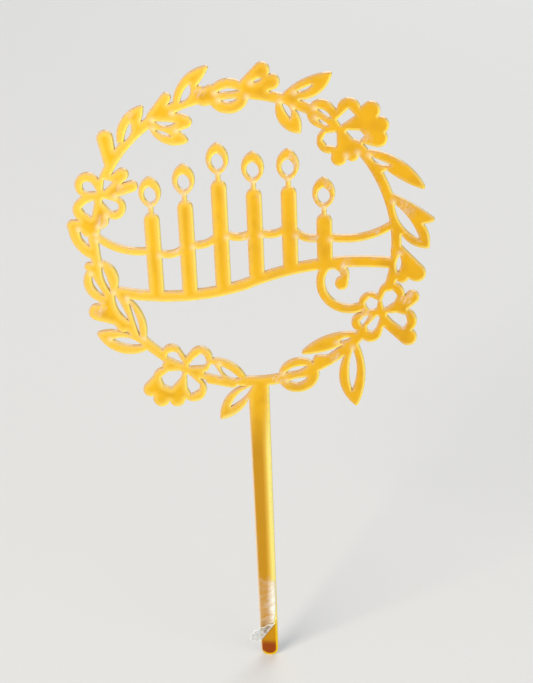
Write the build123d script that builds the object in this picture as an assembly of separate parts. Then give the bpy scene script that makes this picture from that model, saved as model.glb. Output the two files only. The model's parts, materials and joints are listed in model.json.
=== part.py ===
from build123d import *
import math
import os
from dataclasses import dataclass

# Frame: millimetres, +Z up, the front of the plate faces -Y.
# The origin is the point of the pick, at mid thickness, so the pick stands along +Z.

# Sheet with its mirror coat, and film
SHEET_THICKNESS = 1.5
FILM_THICKNESS = 0.08

# Pick
PICK_LENGTH = 100.0
PICK_TOP_WIDTH = 6.4
PICK_TIP_WIDTH = 5.6
PICK_TIP_ROUND = 2.6

# Wreath ring. Its middle lies a little to the left of the pick.
RING_RADIUS = 45.0
RING_WIDTH = 3.0
RING_LEFT = 2.7
SPRIG_UNIT = 1.0
LEAF_TIP_ROUND = 0.6

# Centre ornament. Lengths are from the ring's middle.
SWASH_WIDTH = 3.2
SWASH_LEFT_ANGLE = 199.0
SWASH_RIGHT_ANGLE = -8.0
SWASH_MIDDLE_DROP = 13.0
SWASH_SWAY = 3.0
CANDLE_COUNT = 6
CANDLE_WIDTH = 4.6
CANDLE_PITCH = 10.2
CANDLE_ROW_LEFT = 1.5
CANDLE_STEP = 3.0
CROWN_HEIGHT = 20.0
CROWN_RADIUS = 40.0
WICK_WIDTH = 1.4
WICK_LENGTH = 1.6
FLAME_LENGTH = 9.6
FLAME_BULGE = 3.3
FLAME_RIM = 1.5
GARLAND_WIDTH = 2.2
GARLAND_SAG = 2.4
GARLAND_SHARE = 0.56
GARLAND_LEFT_ANGLE = 176.0
GARLAND_RIGHT_ANGLE = 8.0
SCROLL_WIDTH = 2.6
SCROLL_RADIUS = 8.5
SCROLL_EYE_RADIUS = 3.4
SCROLL_BALL_RADIUS = 2.0
SCROLL_FOOT_ANGLE = 330.0
SCROLL_FOOT_INSET = 5.0
SCROLL_HEADING = 205.0
SCROLL_SWEEP = 140.0
SCROLL_EYE_SWEEP = 200.0

# Film on the plain part of the pick, and its loose end.
# The crease runs across the pick from its right edge down to its left edge.
FILM_TOP_HEIGHT = 95.0
CREASE_RIGHT_HEIGHT = 14.2
CREASE_LEFT_HEIGHT = 6.1
CRUMPLE_SHORTENING = 3.6
FOLD_RADIUS = 0.25
FOLD_ANGLE = 158.0
FOLD_CLEARANCE = 0.06


@dataclass(frozen=True)
class Blade:
    """Leaf or slit outline: two arcs from base to tip, with the rise of each arc over its chord."""

    base: tuple
    tip: tuple
    left: float
    right: float


@dataclass(frozen=True)
class Petal:
    """Petal, lobe or eye outline: two circles joined by their outer tangents."""

    root: tuple
    root_radius: float
    end: tuple
    end_radius: float


@dataclass(frozen=True)
class Window:
    """Opening with straight sides and rounded corners."""

    corners: tuple
    rounding: float


@dataclass(frozen=True)
class Bud:
    """Oval outline."""

    middle: tuple
    across: float
    along: float


@dataclass(frozen=True)
class Sprig:
    """One motif of the wreath, at an angle on the ring.

    Its points are (clockwise along the ring, outward) from the ring's middle line, in SPRIG_UNIT.
    """

    angle: float
    leaves: tuple = ()
    solids: tuple = ()
    slits: tuple = ()


# The wreath, clockwise from the top left. Angles are degrees from +X, counter-clockwise seen from the front.
SPRIGS = (
    Sprig(
        angle=106,
        leaves=(Blade((-6.0, 1.0), (7.4, 8.1), 2.8, 1.6),),
        solids=(Petal((3.0, 0.0), 2.6, (8.4, -0.3), 2.9), Petal((0.3, 1.7), 1.2, (2.2, 2.3), 1.3)),
        slits=(Blade((-4.0, 0.5), (0.3, 4.6), 0.5, 1.4),),
    ),
    Sprig(
        angle=131,
        leaves=(Blade((-6.5, 1.5), (7.0, 4.4), 2.9, 2.4),),
        slits=(Blade((-4.7, 0.6), (0.7, 3.2), 0.4, 1.0),),
    ),
    Sprig(angle=117, solids=(Petal((1.7, 3.4), 1.5, (-4.5, 0.3), 1.8),)),
    Sprig(angle=142, solids=(Petal((1.4, 5.6), 2.35, (-3.5, 0.5), 1.9),)),
    Sprig(
        angle=160,
        solids=(
            Petal((0.5, 0.2), 2.5, (1.6, 3.8), 3.8),
            Petal((0.5, 0.2), 2.5, (-6.0, 2.4), 3.8),
            Petal((0.5, 0.2), 2.5, (-2.4, -5.4), 3.6),
            Petal((0.5, 0.2), 2.0, (-7.6, -2.6), 2.6),
            Petal((2.5, -1.5), 2.0, (8.2, -5.0), 1.9),
            Petal((1.5, -3.0), 1.8, (5.8, -8.8), 1.6),
        ),
        slits=(
            Petal((0.9, 1.7), 0.7, (1.2, 3.6), 1.7),
            Window(((-2.0, 0.6), (-3.8, 2.7), (-5.9, 3.7), (-7.0, 2.4), (-7.7, 0.0)), 0.4),
            Petal((-1.4, -2.5), 0.9, (-2.0, -5.1), 1.7),
            Window(((1.1, -1.0), (5.1, -0.3), (5.3, -3.1)), 0.35),
        ),
    ),
    Sprig(
        angle=178,
        leaves=(Blade((-6.5, 0.5), (5.0, 7.4), 2.3, 1.8),),
        solids=(Petal((3.9, 6.1), 1.7, (3.2, 0.5), 2.8),),
        slits=(Blade((-2.3, 1.2), (2.3, 3.9), 0.9, 0.5),),
    ),
    Sprig(
        angle=195,
        leaves=(Blade((-7.0, 1.5), (4.5, 3.0), 3.6, 1.6), Blade((-5.0, -2.0), (6.5, -1.0), 1.0, 3.7)),
        solids=(Petal((5.2, 2.5), 1.2, (3.5, 0.0), 2.4),),
        slits=(Blade((-4.9, 0.9), (2.2, 2.5), 1.4, 0.05), Blade((-4.3, -1.3), (4.2, -1.4), 0.8, 0.4)),
    ),
    Sprig(
        angle=208,
        solids=(Petal((2.0, 5.8), 2.6, (-2.5, 1.0), 2.6), Petal((4.0, 1.0), 2.6, (-5.2, 0.8), 2.4)),
    ),
    Sprig(
        angle=213,
        leaves=(Blade((-9.8, -1.0), (9.5, -3.0), 2.0, 4.1),),
        slits=(Blade((-1.1, -1.1), (8.1, -2.7), 1.4, 0.3), Blade((-7.0, -0.8), (3.6, -4.7), 0.2, 0.9)),
    ),
    Sprig(
        angle=220,
        leaves=(Blade((-6.5, 0.5), (7.8, 9.3), 4.0, 3.0),),
        slits=(Blade((-4.2, 1.2), (3.0, 6.9), 1.0, 1.5),),
    ),
    Sprig(
        angle=244,
        solids=(
            Petal((0.1, 0.1), 2.0, (5.6, -2.4), 3.0),
            Petal((4.2, 1.7), 1.3, (5.7, 2.0), 1.2),
            Petal((0.1, 0.1), 2.0, (-2.9, -5.2), 3.6),
            Petal((-4.8, -1.2), 1.8, (-6.0, -4.2), 1.3),
            Petal((0.1, 0.1), 2.0, (4.4, 6.4), 3.6),
            Petal((0.1, 0.1), 2.0, (-5.1, 5.7), 4.1),
            Petal((4.0, 7.0), 3.6, (6.9, 11.8), 2.3),
            Petal((2.5, 8.0), 3.4, (2.6, 13.2), 2.6),
            Petal((-1.0, 7.0), 3.4, (-1.9, 11.2), 2.4),
        ),
        slits=(
            Window(((0.5, -0.7), (6.6, -0.7), (6.7, -2.2), (5.4, -3.5), (4.2, -3.5)), 0.4),
            Window(((-0.3, -0.3), (-1.4, -4.3), (-2.4, -6.6), (-3.6, -6.4), (-5.2, -4.7), (-5.0, -3.0)), 0.5),
            Window(((0.3, 1.2), (0.0, 4.2), (1.2, 8.6), (3.8, 8.6), (5.6, 6.6), (4.2, 3.4)), 0.7),
            Window(((-0.9, 1.3), (-6.3, 3.2), (-6.8, 5.2), (-5.2, 7.9), (-3.3, 6.4)), 0.45),
            Window(((-5.4, -0.7), (-6.7, -2.4), (-6.7, -4.8), (-7.6, -4.9), (-12.0, -1.9)), 0.3),
        ),
    ),
    Sprig(
        angle=261,
        leaves=(Blade((7.5, -5.5), (-6.2, -1.0), 3.0, 4.5),),
        solids=(Petal((5.0, 0.5), 1.7, (-2.0, 0.7), 1.7),),
        slits=(Blade((2.4, -4.4), (-3.9, -1.1), 0.4, 2.0),),
    ),
    Sprig(
        angle=265,
        leaves=(Blade((-4.5, 1.0), (4.6, 13.8), 2.9, 3.3),),
        slits=(Blade((-4.8, 1.4), (1.5, 9.2), 0.8, 1.3),),
    ),
    Sprig(
        angle=290,
        solids=(Bud((0.3, 0.4), 6.4, 5.5),),
        slits=(Blade((-3.3, -1.6), (3.8, -1.8), 0.8, 0.9), Blade((-1.9, 1.8), (3.9, 1.1), 1.6, 0.3)),
    ),
    Sprig(angle=303, solids=(Petal((2.8, -1.6), 1.7, (0.0, 0.0), 1.6),)),
    Sprig(
        angle=307,
        leaves=(Blade((-7.5, 0.5), (5.6, 17.3), 2.4, 5.6),),
        slits=(Blade((-5.0, 1.4), (3.6, 12.0), 1.3, 1.0),),
    ),
    Sprig(
        angle=310,
        leaves=(Blade((-8.0, -1.0), (11.0, -7.6), 1.9, 2.6),),
        slits=(Blade((-4.6, -1.7), (-1.2, -3.0), 0.5, 0.6),),
    ),
    Sprig(
        angle=332,
        solids=(
            Petal((0.6, 0.7), 2.4, (-0.6, -3.0), 3.6),
            Petal((0.6, 0.7), 2.4, (-6.2, 1.0), 3.9),
            Petal((0.6, 0.7), 2.4, (-0.6, 8.2), 3.8),
            Petal((0.6, 0.7), 2.4, (6.0, -2.8), 2.9),
            Petal((0.6, 0.7), 2.4, (7.2, 0.9), 3.5),
            Petal((1.5, 4.0), 2.5, (3.6, 11.8), 2.6),
            Petal((-3.0, 5.0), 1.8, (-8.4, 6.9), 2.0),
        ),
        slits=(
            Window(((-0.1, -4.7), (-2.6, -4.2), (-2.8, -1.6), (0.2, -0.7), (1.5, -2.6)), 0.8),
            Window(((-6.2, -1.0), (-7.7, 0.8), (-6.8, 2.7), (-4.3, 3.0), (-0.9, 1.3), (-3.1, -0.6)), 0.6),
            Window(((0.1, 2.1), (-1.9, 5.1), (-2.4, 7.8), (-0.5, 9.4), (2.0, 9.4), (1.4, 5.9)), 0.6),
            Window(((5.9, -3.4), (3.5, -2.7), (2.9, -1.5), (7.1, -1.9)), 0.35),
            Window(((1.7, 0.4), (1.9, 1.5), (5.6, 2.1), (7.3, 1.8), (7.4, 0.1), (6.3, -0.7)), 0.4),
        ),
    ),
    Sprig(
        angle=350,
        solids=(
            Petal((-5.5, 0.0), 2.0, (0.3, 6.9), 2.6),
            Petal((-1.0, 1.0), 2.5, (0.3, 6.9), 2.6),
            Petal((-2.0, 0.5), 2.0, (2.2, 2.8), 1.9),
        ),
        slits=(Blade((-4.2, 0.9), (1.1, 1.3), 0.7, 0.7),),
    ),
    Sprig(
        angle=7,
        leaves=(Blade((-9.8, 0.3), (-0.2, 12.0), 0.4, 4.6), Blade((-4.0, 1.0), (8.2, 9.0), 3.5, 3.6)),
        slits=(Blade((-6.6, 0.6), (5.2, 6.5), 1.0, 1.9),),
    ),
    Sprig(
        angle=27,
        leaves=(Blade((-8.5, 0.5), (10.0, 10.2), 2.9, 1.8),),
        solids=(Petal((-4.0, 0.8), 1.6, (-2.0, 2.0), 1.4),),
        slits=(Blade((-6.2, 0.6), (-1.4, 4.5), 0.1, 1.2),),
    ),
    Sprig(
        angle=48,
        solids=(
            Petal((-1.5, 0.4), 2.5, (-8.4, -0.2), 4.0),
            Petal((-1.5, 0.4), 2.5, (-3.2, 5.8), 3.4),
            Petal((-1.5, 0.4), 2.5, (-1.4, -4.6), 3.7),
            Petal((1.5, 4.0), 3.0, (1.6, 9.8), 2.6),
            Petal((2.5, 4.0), 3.4, (6.4, 8.3), 2.5),
            Petal((2.5, 3.0), 3.4, (8.5, 5.2), 2.6),
            Petal((1.0, -1.5), 2.5, (3.9, -6.6), 2.3),
            Petal((1.0, 0.0), 2.5, (6.3, -3.4), 1.8),
        ),
        slits=(
            Blade((-10.1, 0.1), (-5.4, 0.6), 0.9, 0.2),
            Blade((-8.0, -2.0), (-4.4, -1.4), 0.4, 0.5),
            Window(((-3.5, 6.1), (-0.6, 5.8), (-1.8, 0.8), (-3.9, 1.4)), 0.3),
            Window(((-0.4, 0.6), (3.1, 3.4), (5.2, 3.2), (5.2, 1.0), (3.2, 0.2)), 0.5),
            Window(((-1.6, -1.3), (1.4, -4.6), (-1.0, -6.2), (-3.1, -5.7), (-3.6, -3.6)), 0.45),
        ),
    ),
    Sprig(
        angle=66,
        leaves=(Blade((-6.4, 0.8), (4.2, 12.4), 1.5, 4.2),),
        slits=(Blade((-2.8, 3.3), (0.4, 6.8), 0.2, 0.7),),
    ),
    Sprig(
        angle=69,
        leaves=(Blade((-4.8, -0.6), (4.8, -7.6), 2.6, 3.3),),
        slits=(Blade((-3.2, -1.2), (0.4, -4.5), 1.3, 0.3),),
    ),
    Sprig(
        angle=81,
        solids=(
            Petal((-5.0, 1.8), 2.0, (-0.9, 7.0), 2.3),
            Petal((-2.0, 2.0), 2.2, (2.4, 4.2), 2.2),
        ),
        slits=(Blade((-2.8, 3.4), (-0.7, 4.6), 0.35, 0.35),),
    ),
    Sprig(
        angle=93,
        solids=(Bud((-0.1, -0.7), 5.8, 5.0), Petal((-5.3, 1.3), 1.5, (-3.0, 0.0), 1.5)),
        slits=(Blade((-3.1, 0.6), (3.0, 0.7), 0.9, 0.2), Blade((-2.3, -1.8), (2.3, -1.6), 0.2, 0.8)),
    ),
    Sprig(
        angle=119,
        leaves=(Blade((-4.0, -0.5), (6.5, -5.0), 2.0, 2.5), Blade((-5.5, -1.5), (2.5, -10.8), 2.3, 2.9)),
        solids=(Petal((-4.6, -2.0), 1.0, (-1.6, -4.4), 1.0), Petal((1.8, -5.2), 1.5, (4.8, -5.6), 1.6)),
        slits=(Blade((-3.0, -0.8), (2.0, -4.1), 0.1, 1.3), Blade((-4.2, -3.0), (-1.1, -6.8), 0.4, 0.6)),
    ),
)

RING_MIDDLE = (-RING_LEFT, PICK_LENGTH + RING_RADIUS + RING_WIDTH / 2)


def blade_face(blade):
    """Face between the two arcs of a blade."""
    sides = [SagittaArc(blade.base, blade.tip, blade.left), SagittaArc(blade.tip, blade.base, blade.right)]
    return make_face(sides)


def petal_face(petal):
    """Face of two circles and their outer tangents."""
    root = Vector(*petal.root)
    end = Vector(*petal.end)
    axis = (end - root).normalized()
    lean = math.degrees(math.acos((petal.root_radius - petal.end_radius) / (end - root).length))
    left = axis.rotate(Axis.Z, lean)
    right = axis.rotate(Axis.Z, -lean)
    root_left = root + left * petal.root_radius
    root_right = root + right * petal.root_radius
    end_left = end + left * petal.end_radius
    end_right = end + right * petal.end_radius
    edges = [
        Line(root_left, end_left),
        ThreePointArc(end_left, end + axis * petal.end_radius, end_right),
        Line(end_right, root_right),
        ThreePointArc(root_right, root - axis * petal.root_radius, root_left),
    ]
    return make_face(edges)


def window_face(window):
    """Face with straight sides and rounded corners."""
    face = make_face(Polyline(*window.corners, close=True))
    return fillet(face.vertices(), window.rounding)


def shape_face(shape):
    """Face of any of the outline kinds."""
    if isinstance(shape, Blade):
        return blade_face(shape)
    if isinstance(shape, Petal):
        return petal_face(shape)
    if isinstance(shape, Window):
        return window_face(shape)
    return Pos(*shape.middle) * Ellipse(shape.across, shape.along)


def leaf_face(blade):
    """Blade with its tip rounded as the cutter leaves it."""
    face = blade_face(blade)
    tip = Vector(*blade.tip)
    corner = min(face.vertices(), key=lambda vertex: (Vector(vertex) - tip).length)
    return fillet(corner, LEAF_TIP_ROUND / SPRIG_UNIT)


def on_ring(angle):
    """Place on the ring's middle line, with x clockwise along the ring and y outward."""
    return Pos(*RING_MIDDLE) * Rot(0, 0, angle - 90) * Pos(0, RING_RADIUS)


def ring_point(angle, lift=0.0):
    """Point a lift outside the ring's middle line, from the ring's middle."""
    turn = math.radians(angle)
    return Vector(math.cos(turn), math.sin(turn)) * (RING_RADIUS + lift)


def wreath_faces():
    """Faces to add and faces to cut for the ring and all sprigs."""
    outer = Circle(RING_RADIUS + RING_WIDTH / 2)
    inner = Circle(RING_RADIUS - RING_WIDTH / 2)
    added = [Pos(*RING_MIDDLE) * (outer - inner)]
    cut = []
    for sprig in SPRIGS:
        place = on_ring(sprig.angle)
        added += [place * scale(leaf_face(leaf), SPRIG_UNIT) for leaf in sprig.leaves]
        added += [place * scale(shape_face(solid), SPRIG_UNIT) for solid in sprig.solids]
        cut += [place * scale(shape_face(slit), SPRIG_UNIT) for slit in sprig.slits]
    return added, cut


def swash_arcs():
    """The two arcs of the swash that carries the candles, from the ring's middle."""
    left = ring_point(SWASH_LEFT_ANGLE)
    right = ring_point(SWASH_RIGHT_ANGLE)
    middle = Vector(0, -SWASH_MIDDLE_DROP)
    return SagittaArc(left, middle, -SWASH_SWAY), SagittaArc(middle, right, SWASH_SWAY)


def swash_height(arcs, station):
    """Height of the swash's middle line at a distance right of the ring's middle."""
    arc = arcs[0] if station < 0 else arcs[1]
    low = 0.0
    high = 1.0
    for _ in range(40):
        share = (low + high) / 2
        if (arc @ share).X < station:
            low = share
        else:
            high = share
    return (arc @ low).Y


def crown_height(station):
    """Height of the arc that the candle tops follow."""
    return CROWN_HEIGHT - CROWN_RADIUS + math.sqrt(CROWN_RADIUS**2 - station**2)


def candle_faces(station, foot, top):
    """Candle with a round top, its wick and its open flame."""
    flame_foot = (station, top + WICK_LENGTH)
    flame_top = (station, top + WICK_LENGTH + FLAME_LENGTH)
    eye_foot = (station, flame_foot[1] + FLAME_RIM)
    eye_top = (station, flame_top[1] - 2 * FLAME_RIM)
    eye_bulge = FLAME_BULGE - FLAME_RIM
    round_end = CANDLE_WIDTH / 2
    added = [
        petal_face(Petal((station, foot + round_end), round_end, (station, top - round_end), round_end)),
        Pos(station, top + WICK_LENGTH / 2) * Rectangle(WICK_WIDTH, 2 * WICK_LENGTH),
        blade_face(Blade(flame_foot, flame_top, FLAME_BULGE, FLAME_BULGE)),
    ]
    return added, [blade_face(Blade(eye_foot, eye_top, eye_bulge, eye_bulge))]


def scroll_faces():
    """Scroll under the swash: a wide arc from the flower, a tighter arc and a ball end."""
    turn = math.radians(SCROLL_HEADING)
    start = (math.cos(turn), math.sin(turn))
    foot = ring_point(SCROLL_FOOT_ANGLE, -SCROLL_FOOT_INSET)
    wide = JernArc(foot, start, SCROLL_RADIUS, -SCROLL_SWEEP)
    tight = JernArc(wide @ 1, wide % 1, SCROLL_EYE_RADIUS, -SCROLL_EYE_SWEEP)
    ball = tight @ 1
    return [
        SlotArc(Wire([wide.edge(), tight.edge()]), SCROLL_WIDTH),
        Pos(ball.X, ball.Y) * Circle(SCROLL_BALL_RADIUS),
    ]


def ornament_faces():
    """Faces to add and faces to cut for the centre ornament."""
    arcs = swash_arcs()
    added = [SlotArc(Wire([arc.edge() for arc in arcs]), SWASH_WIDTH)]
    cut = []
    hooks = [ring_point(GARLAND_LEFT_ANGLE)]
    first = -CANDLE_ROW_LEFT - CANDLE_PITCH * (CANDLE_COUNT - 1) / 2
    for index in range(CANDLE_COUNT):
        station = first + index * CANDLE_PITCH
        foot = swash_height(arcs, station)
        top = crown_height(station) - CANDLE_STEP * (index % 2)
        candle, eye = candle_faces(station, foot, top)
        added += candle
        cut += eye
        hooks.append(Vector(station, foot + GARLAND_SHARE * (top - foot)))
    hooks.append(ring_point(GARLAND_RIGHT_ANGLE))
    for near, far in zip(hooks, hooks[1:]):
        added.append(SlotArc(SagittaArc(near, far, -GARLAND_SAG), GARLAND_WIDTH))
    added += scroll_faces()
    place = Pos(*RING_MIDDLE)
    return [place * face for face in added], [place * face for face in cut]


def pick_face():
    """Tapered pick with a round point, run up into the ring."""
    top = PICK_LENGTH + RING_WIDTH / 2
    half_top = PICK_TOP_WIDTH / 2
    half_tip = PICK_TIP_WIDTH / 2
    body = make_face(Polyline((-half_tip, 0), (half_tip, 0), (half_top, top), (-half_top, top), close=True))
    corners = body.vertices().sort_by(Axis.Y)[:2]
    return fillet(corners, PICK_TIP_ROUND)


def plate_face():
    """Outline of the whole sheet, with x to the right and y up, seen from the front."""
    wreath, wreath_cuts = wreath_faces()
    ornament, ornament_cuts = ornament_faces()
    return (Sketch() + wreath + ornament + [pick_face()]) - (wreath_cuts + ornament_cuts)


def layer(face, back, thickness):
    """Solid of a face, its back at a y and its front at y - thickness."""
    return extrude(Plane.XZ.offset(-back) * face, thickness)


def crease():
    """Ends of the crease on the pick's edges, left and right."""
    reach = PICK_TOP_WIDTH
    slope = (CREASE_RIGHT_HEIGHT - CREASE_LEFT_HEIGHT) / PICK_TIP_WIDTH
    middle = (CREASE_RIGHT_HEIGHT + CREASE_LEFT_HEIGHT) / 2
    return Vector(-reach, middle - slope * reach), Vector(reach, middle + slope * reach)


def below_crease(gap):
    """Large face on the side of the crease where the tip is, from a gap away from the crease."""
    left, right = crease()
    along = (right - left).normalized()
    across = along.rotate(Axis.Z, -90)
    near = across * gap
    far = across * (gap + 4 * PICK_TOP_WIDTH)
    return make_face(Polyline(left + near, left + far, right + far, right + near, close=True))


def film_face():
    """Film still stuck on the pick, from just above the crease to where the pick widens into the wreath."""
    keep_away = FOLD_RADIUS + FILM_THICKNESS + FOLD_CLEARANCE
    stuck = Pos(0, FILM_TOP_HEIGHT / 2) * Rectangle(2 * PICK_TOP_WIDTH, FILM_TOP_HEIGHT)
    return (pick_face() & stuck) - below_crease(-keep_away)


def film_end_solid():
    """Loose end: the film of the tip turned over, with its bend as a tube sector about the crease.

    It is drawn flat, at the length that its crumples leave it.
    """
    left, right = crease()
    along = (right - left).normalized()
    across = along.rotate(Axis.Z, -90)
    front = -SHEET_THICKNESS / 2
    outer = FOLD_RADIUS + FILM_THICKNESS
    half = Vector(PICK_TIP_WIDTH / 2, (CREASE_RIGHT_HEIGHT - CREASE_LEFT_HEIGHT) / 2).length
    top = (left + right) / 2 + along * half
    bend_plane = Plane(
        origin=(top.X, front - outer, top.Y),
        x_dir=(across.X, 0, across.Y),
        z_dir=(-along.X, 0, -along.Y),
    )
    end_turn = math.radians(FOLD_ANGLE - 90)
    end_ray = Vector(math.cos(end_turn), math.sin(end_turn))
    sector = make_face(
        [
            CenterArc((0, 0), outer, -90, FOLD_ANGLE),
            CenterArc((0, 0), FOLD_RADIUS, -90, FOLD_ANGLE),
            Line((0, -outer), (0, -FOLD_RADIUS)),
            Line(end_ray * FOLD_RADIUS, end_ray * outer),
        ]
    )
    bend = extrude(bend_plane * sector, 2 * half)
    point = Pos(0, CRUMPLE_SHORTENING) * pick_face()
    flap = layer(point & below_crease(0.0), front, FILM_THICKNESS)
    return bend + flap.rotate(Axis(bend_plane.origin, bend_plane.z_dir), FOLD_ANGLE)


def main():
    """Build the three pieces and write them."""
    os.makedirs("parts", exist_ok=True)
    half = SHEET_THICKNESS / 2
    export_step(layer(plate_face(), half, SHEET_THICKNESS), "parts/acrylic_plate.step")
    export_step(layer(film_face(), -half, FILM_THICKNESS), "parts/front_film.step")
    export_step(film_end_solid(), "parts/film_end.step")


if __name__ == "__main__":
    main()
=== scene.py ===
"""Looks of a gold mirror cake topper: one laser-cut acrylic sheet, its mirror backing and its shop film.

Lengths are millimetres until a mesh is made. The sheet lies in the XZ plane and its front faces -Y.
"""

import json
import logging
import math
from dataclasses import dataclass, field
from enum import Enum

import bmesh
import bpy
import numpy as np
from mathutils import Matrix, Vector
from mathutils.geometry import delaunay_2d_cdt


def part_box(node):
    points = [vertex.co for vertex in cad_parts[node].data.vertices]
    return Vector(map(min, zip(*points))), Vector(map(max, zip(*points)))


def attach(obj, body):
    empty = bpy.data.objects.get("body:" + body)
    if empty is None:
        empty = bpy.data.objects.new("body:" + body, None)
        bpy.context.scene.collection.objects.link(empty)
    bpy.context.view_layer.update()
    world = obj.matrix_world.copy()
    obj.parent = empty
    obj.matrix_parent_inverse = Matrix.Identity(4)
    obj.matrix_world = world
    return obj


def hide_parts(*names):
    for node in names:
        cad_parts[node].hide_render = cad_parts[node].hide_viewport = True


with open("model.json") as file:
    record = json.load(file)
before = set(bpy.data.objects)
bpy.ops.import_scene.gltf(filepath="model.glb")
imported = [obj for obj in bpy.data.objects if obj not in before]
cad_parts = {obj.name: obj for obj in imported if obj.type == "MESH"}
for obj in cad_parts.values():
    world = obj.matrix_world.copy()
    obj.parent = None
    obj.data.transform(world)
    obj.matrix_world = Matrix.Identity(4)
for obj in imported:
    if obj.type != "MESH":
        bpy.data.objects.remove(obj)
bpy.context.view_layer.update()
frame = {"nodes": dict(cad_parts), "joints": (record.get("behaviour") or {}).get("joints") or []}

MM = 0.001
PHOTO_HEIGHT_PX = 683
# Points closer than this are one point, in millimetres
MERGED = 0.002
# Points closer than this to the front are on it, in millimetres
ON_FRONT = 0.01
LOG = logging.getLogger("topper")


class Body(Enum):
    """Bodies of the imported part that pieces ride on."""

    TOPPER = "topper"
    FILM = "film"
    LOOSE_END = "loose_end"


class Slot(Enum):
    """Material slots of the record."""

    ACRYLIC = "gold_acrylic"
    LACQUER = "grey_lacquer"
    FILM = "clear_film"


class Zone(Enum):
    """Material slots of the sheet's mesh, in their order on the object."""

    FACE = 0
    EDGE = 1


# Helpers for colour, nodes and meshes


def linear(code: str) -> tuple[float, float, float, float]:
    """Turn an sRGB hex colour into linear light.

    Args:
        code: six hex digits.

    Returns:
        Red, green, blue and an alpha of one.
    """
    parts = np.array([int(code[i : i + 2], 16) for i in (0, 2, 4)]) / 255
    light = np.where(parts <= 0.04045, parts / 12.92, ((parts + 0.055) / 1.055) ** 2.4)
    return (*light.tolist(), 1.0)


def per_metre(size_mm: float) -> float:
    """Texture scale on Object coordinates whose features are about size_mm wide."""
    return 1 / (size_mm * MM)


def add_node(tree: bpy.types.NodeTree, kind: str, settings: dict | None = None, **inputs) -> bpy.types.Node:
    """Add a node with its settings and links.

    Args:
        tree: node tree of a material or the world.
        kind: node type.
        settings: attributes of the node, and under "inputs" values or sockets by index.
        inputs: values or sockets by input name, with _ for a space.

    Returns:
        The node.
    """
    node = tree.nodes.new(kind)
    settings = dict(settings or {})
    by_index = settings.pop("inputs", {})
    for name, value in settings.items():
        setattr(node, name, value)
    named = {name.replace("_", " "): value for name, value in inputs.items()}
    for key, value in {**named, **by_index}.items():
        if isinstance(value, bpy.types.NodeSocket):
            tree.links.new(value, node.inputs[key])
        else:
            node.inputs[key].default_value = value
    return node


def new_material(name: str) -> tuple[bpy.types.Material, bpy.types.NodeTree]:
    """Make an empty node material.

    Args:
        name: name of the real material.

    Returns:
        The material and its node tree, with only an output node.
    """
    material = bpy.data.materials.new(name)
    material.use_nodes = True
    tree = material.node_tree
    tree.nodes.clear()
    add_node(tree, "ShaderNodeOutputMaterial")
    return material, tree


def show(tree: bpy.types.NodeTree, shader: bpy.types.Node) -> None:
    """Link a shader to the output node of a tree."""
    output = next(node for node in tree.nodes if node.bl_idname.startswith("ShaderNodeOutput"))
    tree.links.new(shader.outputs[0], output.inputs["Surface"])


def unit(vectors: np.ndarray) -> np.ndarray:
    """Rows scaled to length one."""
    return vectors / np.maximum(np.linalg.norm(vectors, axis=1, keepdims=True), 1e-9)


def smooth(share: np.ndarray) -> np.ndarray:
    """Ease from 0 to 1 with flat ends, 3s^2 - 2s^3 of the share held to 0..1."""
    held = np.clip(share, 0, 1)
    return held * held * (3 - 2 * held)


def grid_quads(rows: int, columns: int) -> np.ndarray:
    """Corner indices of the cells of a grid stored row by row.

    Args:
        rows: points in the first parameter.
        columns: points in the second parameter.

    Returns:
        One row of four indices for each cell.
    """
    index = np.arange(rows * columns).reshape(rows, columns)
    corners = (index[:-1, :-1], index[1:, :-1], index[1:, 1:], index[:-1, 1:])
    return np.stack([corner.ravel() for corner in corners], axis=1)


def make_piece(
    name: str,
    points: np.ndarray,
    faces: list[np.ndarray],
    zones: list[int],
    sharp_deg: float,
) -> bpy.types.Object:
    """Make an object at the origin from arrays of points and faces.

    Args:
        name: object name.
        points: x, y, z rows in millimetres.
        faces: arrays of corner indices, each with its own number of corners.
        zones: material slot of each array of faces.
        sharp_deg: edges that turn by more than this stay sharp.

    Returns:
        The object, with doubled points merged and smooth faces.
    """
    corners = np.concatenate([block.ravel() for block in faces]).astype(np.int32)
    sizes = np.concatenate([np.full(len(block), block.shape[1]) for block in faces]).astype(np.int32)
    slots = np.concatenate([np.full(len(block), zone) for block, zone in zip(faces, zones)])
    mesh = bpy.data.meshes.new(name)
    mesh.vertices.add(len(points))
    mesh.vertices.foreach_set("co", (points * MM).astype(np.float32).ravel())
    mesh.loops.add(len(corners))
    mesh.loops.foreach_set("vertex_index", corners)
    mesh.polygons.add(len(sizes))
    mesh.polygons.foreach_set("loop_start", (np.cumsum(sizes) - sizes).astype(np.int32))
    mesh.polygons.foreach_set("material_index", slots.astype(np.int32))
    mesh.update(calc_edges=True)
    cells = bmesh.new()
    cells.from_mesh(mesh)
    bmesh.ops.remove_doubles(cells, verts=cells.verts, dist=MERGED * MM)
    cells.to_mesh(mesh)
    cells.free()
    mesh.validate()
    mesh.polygons.foreach_set("use_smooth", np.ones(len(mesh.polygons), bool))
    mesh.set_sharp_from_angle(angle=math.radians(sharp_deg))
    piece = bpy.data.objects.new(name, mesh)
    bpy.context.scene.collection.objects.link(piece)
    return piece


def mesh_points(mesh: bpy.types.Mesh) -> np.ndarray:
    """Points of a mesh as x, y, z rows in millimetres."""
    flat = np.empty(3 * len(mesh.vertices), np.float32)
    mesh.vertices.foreach_get("co", flat)
    return flat.reshape(-1, 3).astype(float) / MM


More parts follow.
